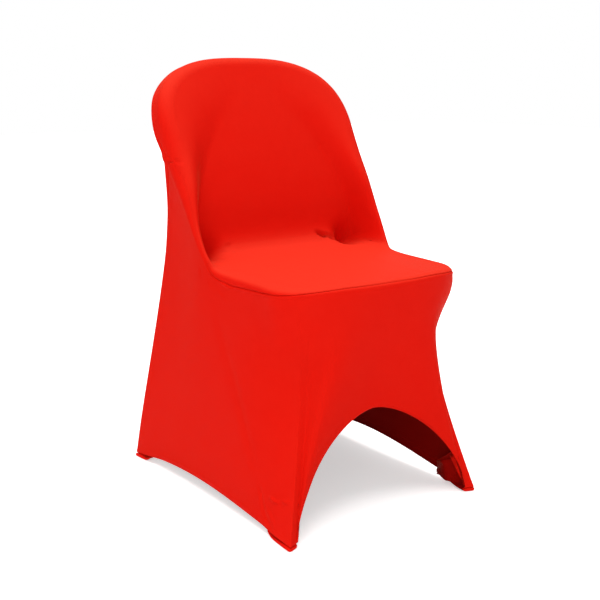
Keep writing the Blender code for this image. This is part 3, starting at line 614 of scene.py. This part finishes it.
def addPocket(name, hemLine, columns, foot):
    # a cup inside a corner: loops round the arch's hem, the face beside the corner, the corner,
    # the side and back across the inside, rounded under the foot and closed by a flat sole
    p, paths = pocket, [hemLine] + list(columns)
    sign = np.sign(foot[0])
    ground = np.array([crossing(path, 0) for path in paths])
    away = np.linalg.norm(ground - foot, axis=1)
    rim = p["innerHeight"] + (p["outerHeight"] - p["innerHeight"]) * (1 - away / away.max())
    rings = [np.full(len(paths), z) for z in p["footRings"]]
    rings += [p["footRings"][-1] + (rim - p["footRings"][-1]) * t for t in p["wallRings"]]
    lift = p["lift"] * (1 - smoothStep(np.linalg.norm(ground - ground[-1], axis=1) / p["liftReach"]))
    share = np.array([.2, .4, .6, .8])
    loops = []
    for levels in rings:
        plan = np.array([crossing(path, z) for path, z in zip(paths, levels)])
        inner = plan[-1] + (plan[0] - plan[-1]) * share[:, None]
        inner[:, 0] -= sign * p["bulge"] * np.sin(np.pi * share)
        z = levels + lift * np.clip(1 - levels / .02, 0, 1)
        z = np.concatenate([z, z[-1] + (z[0] - z[-1]) * share])
        loops.append(np.column_stack([np.concatenate([plan, inner]), z]))
    loops = np.array(loops)
    if np.sum(loops[0, :, 0] * np.roll(loops[0, :, 1], -1) - loops[0, :, 1] * np.roll(loops[0, :, 0], -1)) < 0:
        loops = loops[:, ::-1]
    # even spacing round each loop, with its corners eased
    closed = np.concatenate([loops, loops[:, :1]], 1)
    reach = lengthsAlong(closed[..., :2], 1)
    steps = np.arange(p["around"]) / p["around"]
    even = np.array([np.stack([np.interp(steps * r[-1], r, c[:, k]) for k in range(3)], -1)
                     for r, c in zip(reach, closed)])
    for _ in range(3):
        even = .5 * even + .25 * (np.roll(even, 1, 1) + np.roll(even, -1, 1))
    tangent = unit((np.roll(even, -1, 1) - np.roll(even, 1, 1))[..., :2])
    inward = np.stack([-tangent[..., 1], tangent[..., 0], 0 * tangent[..., 0]], -1)
    heights = np.array(list(p["footRings"]) + [.03] * len(p["wallRings"]))[:, None]
    far = np.linalg.norm(even[..., :2] - foot, axis=-1)
    # it stands out most along the side, and is tucked in behind the hem above that
    facing = -sign * inward[..., 0]
    evenly = p["lipEvenly"]
    lip = p["lip"] * bump(far, p["lipReach"]) * (evenly + (1 - evenly) * np.clip(facing, 0, 1))
    deep = p["inset"] + p["endInset"] * smoothStep((far - p["endFrom"]) / p["endReach"])
    low = 1 - smoothStep((heights - p["lipTop"]) / p["lipTopFade"])
    inset = deep - (deep + lip) * low * (1 - smoothStep((far - p["lipEnd"]) / p["lipEndFade"]))
    under = p["round"] * (1 - np.sqrt(np.clip(1 - np.clip(1 - heights / p["round"], 0, 1) ** 2, 0, 1)))
    # behind the foot the wall across the inside keeps its distance from the side
    beyond = smoothStep(np.abs(even[..., 1] - foot[1]) / p["behind"] - 1)
    across = (smoothStep(.5 - facing) * beyond)[..., None]
    shift = inward * (1 - across) + np.array([-sign, 0, 0]) * across
    outer = even + shift * inset[..., None] + inward * under[..., None]
    within = outer + inward * cloth["thick"]
    within[..., 2] = np.maximum(within[..., 2], outer[0, :, 2] + cloth["thick"])
    rows, count = outer.shape[:2]
    index = np.arange(rows * count).reshape(rows, count)
    following, offset = np.roll(index, -1, axis=1), index.size
    walls = np.stack([index[:-1], following[:-1], following[1:], index[1:]], -1).reshape(-1, 4)
    mouth = np.stack([index[-1], following[-1], following[-1] + offset, index[-1] + offset], -1)
    faces = walls.tolist() + (walls[:, ::-1] + offset).tolist() + mouth.tolist()
    faces += [index[0, ::-1].tolist(), (index[0] + offset).tolist()]
    # the wall across the inside shows the matt reverse of the cloth, whose darker colour there is painted shade
    shadedReverseWall = (facing[0] < p["shadedReverseWall"]) & (np.abs(even[0, :, 1] - foot[1]) > p["shadedReverseFrom"])
    slots = np.concatenate([np.tile(shadedReverseWall, 2 * rows - 1), [False, False]])
    points = np.concatenate([outer.reshape(-1, 3), within.reshape(-1, 3)])
    uv = points[:, [0, 2]] + points[:, [1, 1]]
    return addMesh(name, points, faces, panelCloth, uv, np.zeros(len(points)), slots)


pocketPieces = []
middle, toe = len(acrossLines) // 2, 8      # the toe's columns, where the hem is still level
frontReach = int(np.sum(alongLines >= cells["along"] - pocket["sideCells"])) - 1
rearReach = int(np.sum(alongLines <= cells["point"] + pocket["sideCells"])) - pointRow
for side, step in (("left", 1), ("right", -1)):
    columns = skirtPoints[:, ::step].transpose(1, 0, 2)
    near = columns[corner + toe:corner - frontReach - 1:-2]
    arch = columns[corner + toe:corner + middle, -1]
    piece = addPocket("foot_pocket_front_%s_knit" % side, arch, near, columns[corner, -1, :2])
    pocketPieces.append((piece, "foot_pocket_front_" + side))
    behind = back[pointRow:, ::step].transpose(1, 0, 2)
    near = np.concatenate([behind[toe:0:-2], columns[:rearReach:2]])
    piece = addPocket("foot_pocket_rear_%s_knit" % side, behind[toe:middle, -1], near, behind[0, -1, :2])
    pocketPieces.append((piece, "foot_pocket_rear_" + side))
for piece, node in pocketPieces:
    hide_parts(node)
print("foot pockets made")

# each piece hangs from the root body
for piece in [seatKnit, skirtKnit, rearKnit] + [p for p, _ in pocketPieces]:
    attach(piece, "root")

# floor, light and camera
studio = {
    "cameraAt": (-1.1047, -1.6907, -.0382), "turn": 53.716, "tilt": 12.462, "lens": 60.0,
    "sky": .45, "keyWatts": 24.5, "keyAt": (-2.2, -2.6, .7),
    "topStrength": 2.85, "topAngle": 50.0, "topFrom": (-.10, -.03, 1.0),
    "floor": "#FAF9F8", "floorGlow": .5,
}
floorMesh = bpy.data.meshes.new("floor")
floorZ = -float(topRest[2])
floorMesh.from_pydata([(-12, -12, floorZ), (12, -12, floorZ), (12, 12, floorZ), (-12, 12, floorZ)], [], [(0, 1, 2, 3)])
floor = bpy.data.objects.new("floor", floorMesh)
bpy.context.scene.collection.objects.link(floor)
paper = bpy.data.materials.new("white studio paper")
paper.use_nodes = True
paperShader = paper.node_tree.nodes["Principled BSDF"]
paperShader.inputs["Base Color"].default_value = linear(studio["floor"])
paperShader.inputs["Roughness"].default_value = .9
# the floor looks a little lit from below, so shadows on it stay pale
cameraRay = addNode(paper, "ShaderNodeLightPath").outputs["Is Camera Ray"]
glow = addNode(paper, "ShaderNodeMath", {"operation": "MULTIPLY"}, i0=cameraRay, i1=studio["floorGlow"])
paperShader.inputs["Emission Color"].default_value = (1, 1, 1, 1)
paper.node_tree.links.new(glow.outputs[0], paperShader.inputs["Emission Strength"])
floorMesh.materials.append(paper)

world = bpy.data.worlds.new("studio")
bpy.context.scene.world = world
world.use_nodes = True
world.node_tree.nodes["Background"].inputs["Color"].default_value = (1, 1, 1, 1)
# the backdrop itself is plain white
seen = world.node_tree.nodes.new("ShaderNodeLightPath").outputs["Is Camera Ray"]
level = world.node_tree.nodes.new("ShaderNodeMapRange")
level.inputs["To Min"].default_value, level.inputs["To Max"].default_value = studio["sky"], 1.0
world.node_tree.links.new(seen, level.inputs["Value"])
world.node_tree.links.new(level.outputs["Result"], world.node_tree.nodes["Background"].inputs["Strength"])


def addLight(name, kind, at, aim, power):
    lamp = bpy.data.lights.new(name, kind)
    lamp.energy = power
    obj = bpy.data.objects.new(name, lamp)
    obj.location = at
    obj.rotation_euler = (Vector(aim) - Vector(at)).to_track_quat("-Z", "Y").to_euler()
    bpy.context.scene.collection.objects.link(obj)
    return lamp


# a large soft box at the front left, and an even soft light from above that keeps the floor white
addLight("key", "AREA", studio["keyAt"], (0, -.2, -.4), studio["keyWatts"]).size = 2.2
addLight("top", "SUN", studio["topFrom"], (0, 0, 0), studio["topStrength"]).angle = np.radians(studio["topAngle"])

turn, tilt = np.radians(studio["turn"]), np.radians(studio["tilt"])
ahead = Vector((np.cos(turn) * np.cos(tilt), np.sin(turn) * np.cos(tilt), -np.sin(tilt)))
right = Vector((np.sin(turn), -np.cos(turn), 0))
lens = bpy.data.cameras.new("camera")
lens.sensor_width, lens.lens = 36.0, studio["lens"]
camera = bpy.data.objects.new("camera", lens)
pose = Matrix((right, right.cross(ahead), -ahead)).transposed().to_4x4()
pose.translation = studio["cameraAt"]
camera.matrix_world = pose
bpy.context.scene.collection.objects.link(camera)
bpy.context.scene.camera = camera
bpy.context.scene.view_settings.view_transform = "Standard"

print("scene ready")
